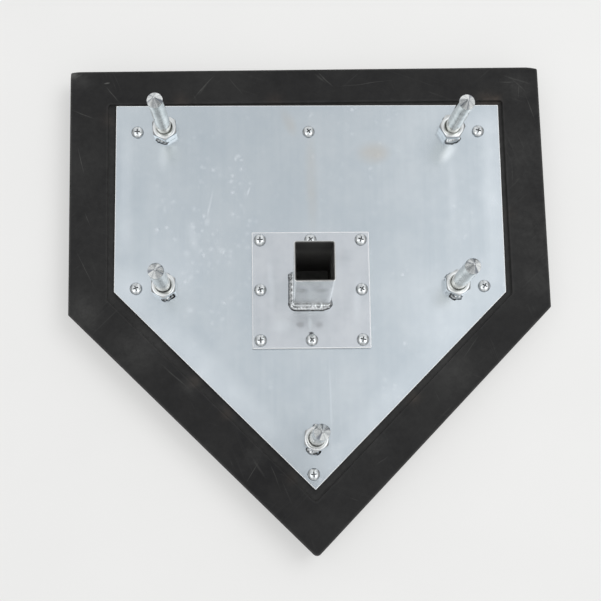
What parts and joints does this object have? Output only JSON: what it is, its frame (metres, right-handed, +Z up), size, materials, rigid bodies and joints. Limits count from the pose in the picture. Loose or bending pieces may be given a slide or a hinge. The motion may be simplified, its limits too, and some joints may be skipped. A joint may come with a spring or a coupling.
{
  "type": "anchored home plate",
  "caption": "Home plate shown underside up: bevelled black rubber slab with a white face, galvanised base plate, screw-in ground spikes and a square stanchion for a ground sleeve.",
  "frame": {"origin": "on the floor under the middle of the slab's length and width, at the white playing face, which lies down", "axes": "+Z up out of the underside along the spikes and the stanchion, +Y towards the straight front edge, +X to the right with the front edge away from the viewer"},
  "size_m": [0.4838, 0.4932, 0.1754],
  "materials": {
    "black_rubber": "moulded black rubber, matt, lightly scuffed",
    "white_rubber": "moulded white rubber, fine satin grain",
    "plywood": "bare softwood plywood",
    "galvanised_sheet": "hot-dip galvanised sheet, faint spangle and streaks",
    "galvanised_tube": "galvanised square tube, dark inside",
    "zinc_hardware": "bright zinc plate, smooth shanks",
    "zinc_screws": "zinc-plated screws",
    "weld_metal": "rippled weld metal"
  },
  "bodies": {
    "home_plate": {"rubber_slab": "black_rubber", "white_face": "white_rubber", "core_board": "plywood", "base_plate": "galvanised_sheet", "stanchion_plate": "galvanised_sheet", "stanchion_tube": "galvanised_tube", "tube_weld": "weld_metal", "spike_nut_front_left": "zinc_hardware", "spike_nut_front_right": "zinc_hardware", "spike_nut_rear_left": "zinc_hardware", "spike_nut_rear_right": "zinc_hardware", "spike_nut_tip": "zinc_hardware", "nut_weld_front_left_a": "weld_metal", "nut_weld_front_left_b": "weld_metal", "nut_weld_front_right_a": "weld_metal", "nut_weld_front_right_b": "weld_metal", "nut_weld_rear_left_a": "weld_metal", "nut_weld_rear_left_b": "weld_metal", "nut_weld_rear_right_a": "weld_metal", "nut_weld_rear_right_b": "weld_metal", "nut_weld_tip_a": "weld_metal", "nut_weld_tip_b": "weld_metal", "perimeter_screw_front_left": "zinc_screws", "perimeter_screw_front_middle": "zinc_screws", "perimeter_screw_front_right": "zinc_screws", "perimeter_screw_rear_left": "zinc_screws", "perimeter_screw_rear_right": "zinc_screws", "perimeter_screw_tip": "zinc_screws", "stanchion_screw_1": "zinc_screws", "stanchion_screw_2": "zinc_screws", "stanchion_screw_3": "zinc_screws", "stanchion_screw_4": "zinc_screws", "stanchion_screw_5": "zinc_screws", "stanchion_screw_6": "zinc_screws", "stanchion_screw_7": "zinc_screws", "stanchion_screw_8": "zinc_screws"},
    "front_left_spike": {"spike_front_left": "zinc_hardware"},
    "front_right_spike": {"spike_front_right": "zinc_hardware"},
    "rear_left_spike": {"spike_rear_left": "zinc_hardware"},
    "rear_right_spike": {"spike_rear_right": "zinc_hardware"},
    "tip_spike": {"spike_tip": "zinc_hardware"}
  },
  "joints": [
    {"name": "front_left_unscrew", "type": "slide", "parent": "home_plate", "child": "front_left_spike", "axis": [0, 0, 1], "range_m": [0, 0.0139]},
    {"name": "front_right_unscrew", "type": "slide", "parent": "home_plate", "child": "front_right_spike", "axis": [0, 0, 1], "range_m": [0, 0.0139]},
    {"name": "rear_left_unscrew", "type": "slide", "parent": "home_plate", "child": "rear_left_spike", "axis": [0, 0, 1], "range_m": [0, 0.0139]},
    {"name": "rear_right_unscrew", "type": "slide", "parent": "home_plate", "child": "rear_right_spike", "axis": [0, 0, 1], "range_m": [0, 0.0139]},
    {"name": "tip_unscrew", "type": "slide", "parent": "home_plate", "child": "tip_spike", "axis": [0, 0, 1], "range_m": [0, 0.0139]}
  ]
}
